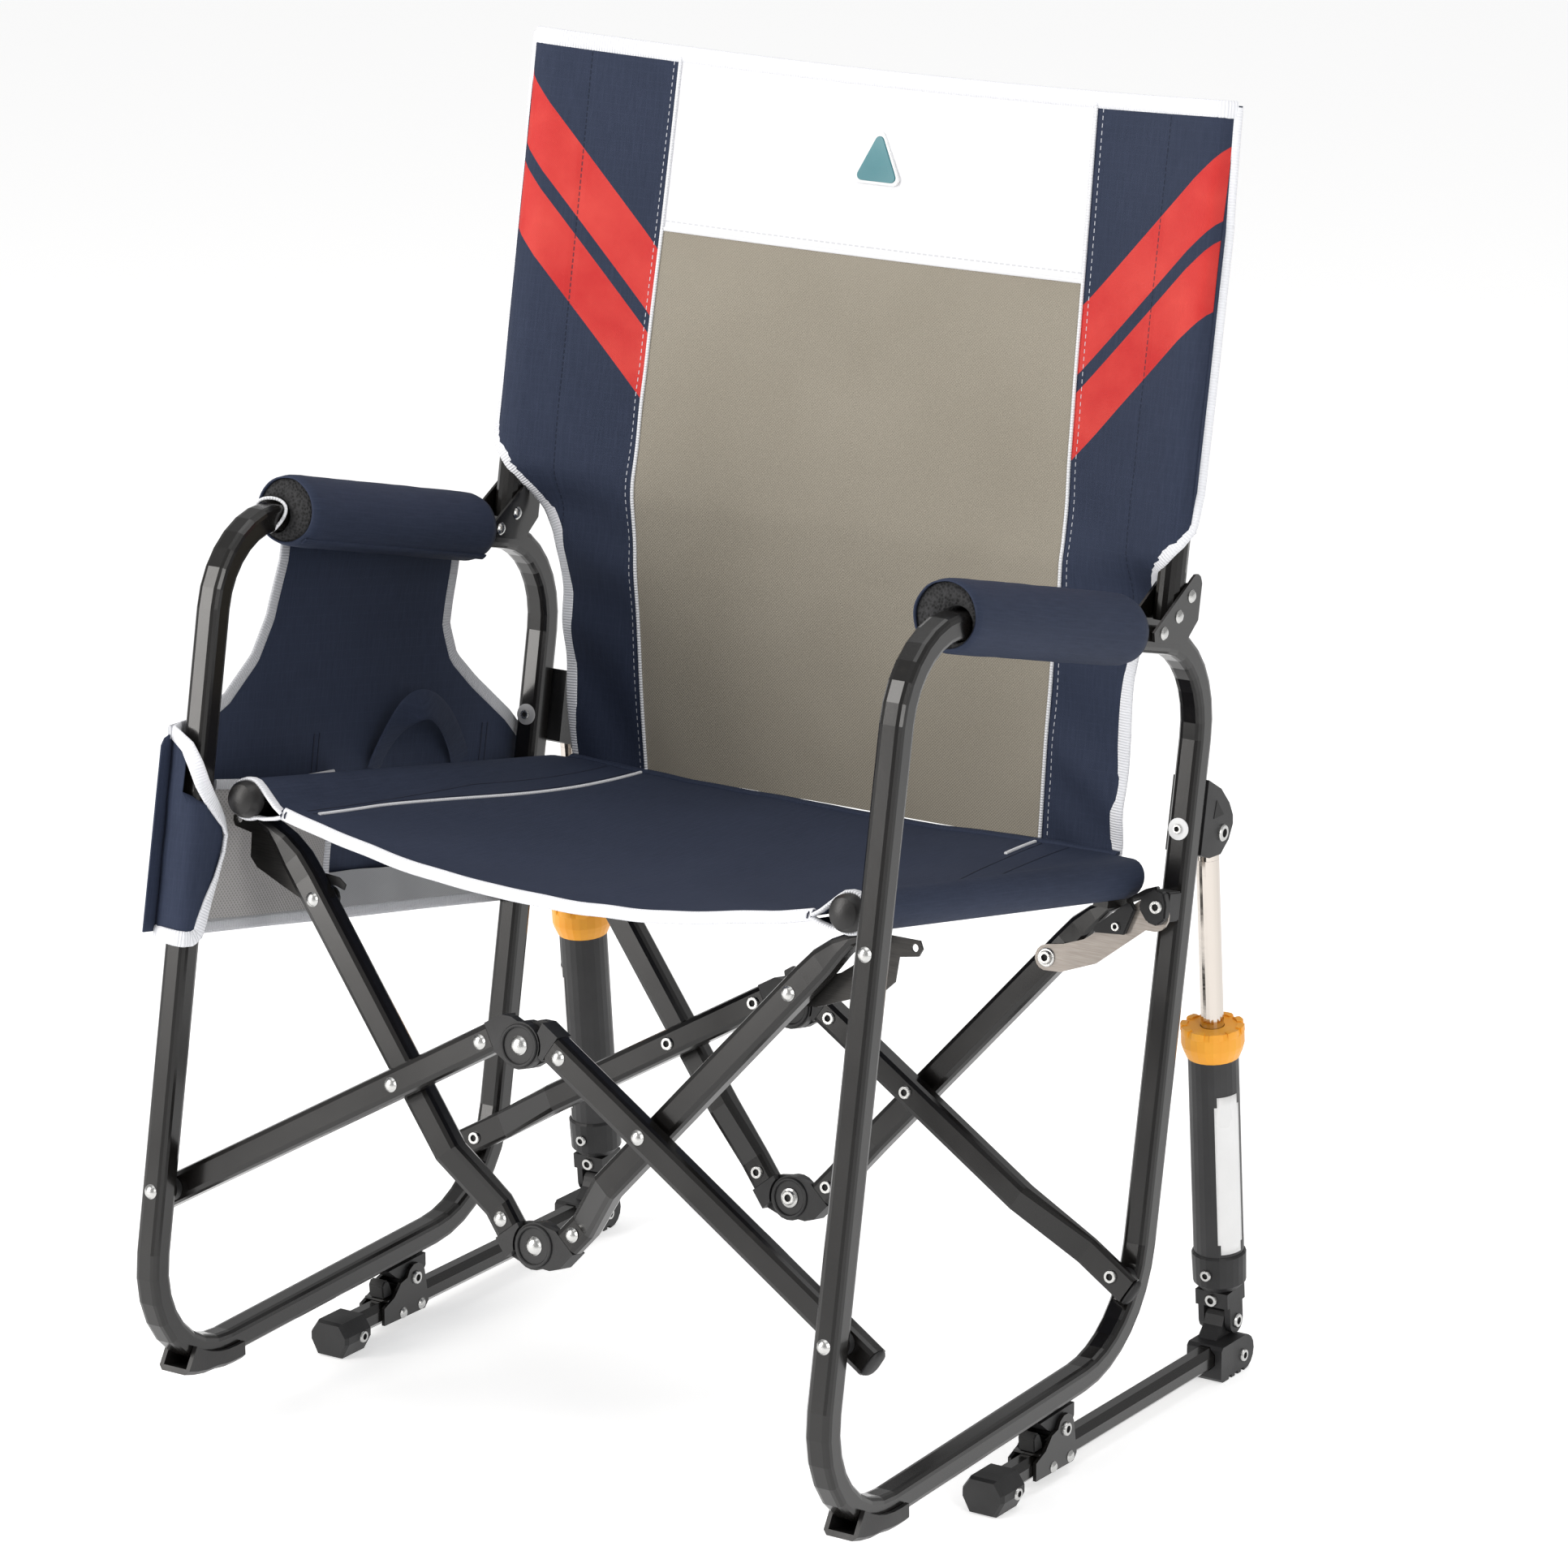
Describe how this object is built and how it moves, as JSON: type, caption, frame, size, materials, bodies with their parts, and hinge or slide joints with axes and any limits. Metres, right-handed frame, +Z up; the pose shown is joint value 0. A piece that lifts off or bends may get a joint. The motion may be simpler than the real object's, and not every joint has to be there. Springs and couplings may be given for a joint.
{
  "type": "camp rocking chair",
  "caption": "Folding camp rocking chair: tubular side frames joined by scissor bars, hammock seat, mesh back, padded arms, and base rails that rock against spring pistons.",
  "frame": {"origin": "middle of the footprint, on the floor under the base rails", "axes": "+X to the right seen from the front, +Y towards the back of the chair, +Z up"},
  "size_m": [0.5686, 0.5408, 0.8807],
  "materials": {
    "frame": "gloss black powder coat",
    "plastic": "matte charcoal",
    "plate": "satin grey steel",
    "cylinder": "satin charcoal paint",
    "collar": "yellow plastic",
    "rod": "polished",
    "fabric": "navy woven polyester",
    "mesh": "taupe open mesh"
  },
  "bodies": {
    "root": {"side_frame_right": "frame", "foot_shoe_right": "plastic", "back_upright_right": "frame", "arm_bracket_right": "frame", "arm_pad_right": "fabric", "piston_head_right": "plastic", "pivot_lug_right": "plastic", "back_right": "mesh"},
    "front_link_right_body": {"front_link_right": "frame", "front_top_knuckle_right": "plastic"},
    "front_plate_right_body": {"front_plate_right": "plate"},
    "rear_link_right_body": {"rear_link_right": "frame", "rear_top_knuckle_right": "plastic"},
    "rear_plate_right_body": {"rear_plate_right": "plate"},
    "seat_right_body": {"front_seat_bar_right": "frame", "rear_seat_bar_right": "frame", "front_low_knuckle_right": "plastic", "rear_low_knuckle_right": "plastic", "seat_rail_right": "frame", "seat_right": "fabric"},
    "base_right_body": {"base_rail_right": "frame", "base_cap_right": "plastic", "base_socket_right": "plastic", "base_bracket_right": "frame"},
    "cylinder_right_body": {"piston_link_right": "plastic", "piston_cap_right": "plastic", "piston_cylinder_right": "cylinder", "piston_collar_right": "collar"},
    "rod_right_body": {"piston_rod_right": "rod"},
    "side_left": {"side_frame_left": "frame", "foot_shoe_left": "plastic", "back_upright_left": "frame", "arm_bracket_left": "frame", "arm_pad_left": "fabric", "piston_head_left": "plastic", "pivot_lug_left": "plastic", "back_left": "mesh", "side_panel": "fabric"},
    "front_link_left_body": {"front_link_left": "frame", "front_top_knuckle_left": "plastic"},
    "front_plate_left_body": {"front_plate_left": "plate"},
    "rear_link_left_body": {"rear_link_left": "frame", "rear_top_knuckle_left": "plastic"},
    "rear_plate_left_body": {"rear_plate_left": "plate"},
    "seat_left_body": {"front_seat_bar_left": "frame", "rear_seat_bar_left": "frame", "front_low_knuckle_left": "plastic", "rear_low_knuckle_left": "plastic", "seat_rail_left": "frame", "seat_left": "fabric"},
    "base_left_body": {"base_rail_left": "frame", "base_cap_left": "plastic", "base_socket_left": "plastic", "base_bracket_left": "frame"},
    "cylinder_left_body": {"piston_link_left": "plastic", "piston_cap_left": "plastic", "piston_cylinder_left": "cylinder", "piston_collar_left": "collar"},
    "rod_left_body": {"piston_rod_left": "rod"}
  },
  "joints": [
    {"name": "fold", "type": "hinge", "parent": "root", "child": "front_link_right_body", "pos_m": [0.262, -0.23002, 0.17078], "axis": [0, 0.9833, -0.1822], "range_deg": [0, 46.04], "deforming": ["seat_right", "seat_left", "back_right", "back_left"]},
    {"name": "rear_link_right_turn", "type": "hinge", "parent": "root", "child": "rear_link_right_body", "pos_m": [0.262, 0.09249, 0.111], "axis": [0, 0.9833, -0.1822], "range_deg": [0, 46.09]},
    {"name": "front_link_left_turn", "type": "hinge", "parent": "front_link_right_body", "child": "front_link_left_body", "pos_m": [0, -0.20423, 0.30991], "axis": [0, 0.9833, -0.1822], "range_deg": [-92.13, 0]},
    {"name": "rear_link_left_turn", "type": "hinge", "parent": "rear_link_right_body", "child": "rear_link_left_body", "pos_m": [0, 0.11827, 0.25013], "axis": [0, 0.9833, -0.1822], "range_deg": [-92.13, 0]},
    {"name": "side_left_turn", "type": "hinge", "parent": "front_link_left_body", "child": "side_left", "pos_m": [-0.262, -0.23002, 0.17078], "axis": [0, 0.9833, -0.1822], "range_deg": [0, 46.09]},
    {"name": "seat_right_turn", "type": "hinge", "parent": "front_link_right_body", "child": "seat_right_body", "pos_m": [0.096, -0.20313, 0.26648], "axis": [0, 0.9833, -0.1822], "range_deg": [-76.44, 0]},
    {"name": "seat_left_turn", "type": "hinge", "parent": "front_link_left_body", "child": "seat_left_body", "pos_m": [-0.096, -0.20313, 0.26648], "axis": [0, 0.9833, -0.1822], "range_deg": [0, 76.44]},
    {"name": "front_plate_right_turn", "type": "hinge", "parent": "root", "child": "front_plate_right_body", "pos_m": [0.262, -0.15726, 0.40697], "axis": [0, 0.9833, -0.1822], "range_deg": [0, 102.62]},
    {"name": "front_plate_left_turn", "type": "hinge", "parent": "side_left", "child": "front_plate_left_body", "pos_m": [-0.262, -0.15726, 0.40697], "axis": [0, 0.9833, -0.1822], "range_deg": [-102.62, 0]},
    {"name": "rear_plate_right_turn", "type": "hinge", "parent": "root", "child": "rear_plate_right_body", "pos_m": [0.262, 0.1446, 0.35102], "axis": [0, 0.9833, -0.1822], "range_deg": [0, 102.62]},
    {"name": "rear_plate_left_turn", "type": "hinge", "parent": "side_left", "child": "rear_plate_left_body", "pos_m": [-0.262, 0.1446, 0.35102], "axis": [0, 0.9833, -0.1822], "range_deg": [-102.62, 0]},
    {"name": "rock", "type": "hinge", "parent": "root", "child": "base_right_body", "pos_m": [0.262, 0.0196, 0.0336], "axis": [1, 0, 0], "range_deg": [0, 12], "stiffness_Nm_per_rad": 60, "springref_deg": -11.46},
    {"name": "rock_left", "type": "hinge", "parent": "side_left", "child": "base_left_body", "pos_m": [-0.262, 0.0196, 0.0336], "axis": [1, 0, 0], "range_deg": [0, 12.05]},
    {"name": "piston_right_tilt", "type": "hinge", "parent": "base_right_body", "child": "cylinder_right_body", "pos_m": [0.2575, 0.255, 0.0355], "axis": [1, 0, 0], "range_deg": [-12.05, 0]},
    {"name": "piston_right_stroke", "type": "slide", "parent": "cylinder_right_body", "child": "rod_right_body", "axis": [0, -0.0969, 0.9953], "range_m": [-0.0495, 0]},
    {"name": "piston_left_tilt", "type": "hinge", "parent": "base_left_body", "child": "cylinder_left_body", "pos_m": [-0.2575, 0.255, 0.0355], "axis": [1, 0, 0], "range_deg": [-12.05, 0]},
    {"name": "piston_left_stroke", "type": "slide", "parent": "cylinder_left_body", "child": "rod_left_body", "axis": [0, -0.0969, 0.9953], "range_m": [-0.0495, 0]}
  ],
  "couplings": [
    {"joint": "rear_link_right_turn", "follows": "fold", "ratio": 1},
    {"joint": "front_link_left_turn", "follows": "fold", "ratio": -2},
    {"joint": "rear_link_left_turn", "follows": "fold", "ratio": -2},
    {"joint": "side_left_turn", "follows": "fold", "ratio": 1},
    {"joint": "seat_right_turn", "follows": "fold", "ratio": -1.6593},
    {"joint": "seat_left_turn", "follows": "fold", "ratio": 1.6593},
    {"joint": "front_plate_right_turn", "follows": "fold", "ratio": 2.2279},
    {"joint": "front_plate_left_turn", "follows": "fold", "ratio": -2.2279},
    {"joint": "rear_plate_right_turn", "follows": "fold", "ratio": 2.2279},
    {"joint": "rear_plate_left_turn", "follows": "fold", "ratio": -2.2279},
    {"joint": "rock_left", "follows": "rock", "ratio": 1},
    {"joint": "piston_right_tilt", "follows": "rock", "ratio": -1},
    {"joint": "piston_right_stroke", "follows": "rock", "m_per_rad": -0.235},
    {"joint": "piston_left_tilt", "follows": "rock", "ratio": -1},
    {"joint": "piston_left_stroke", "follows": "rock", "m_per_rad": -0.235}
  ]
}
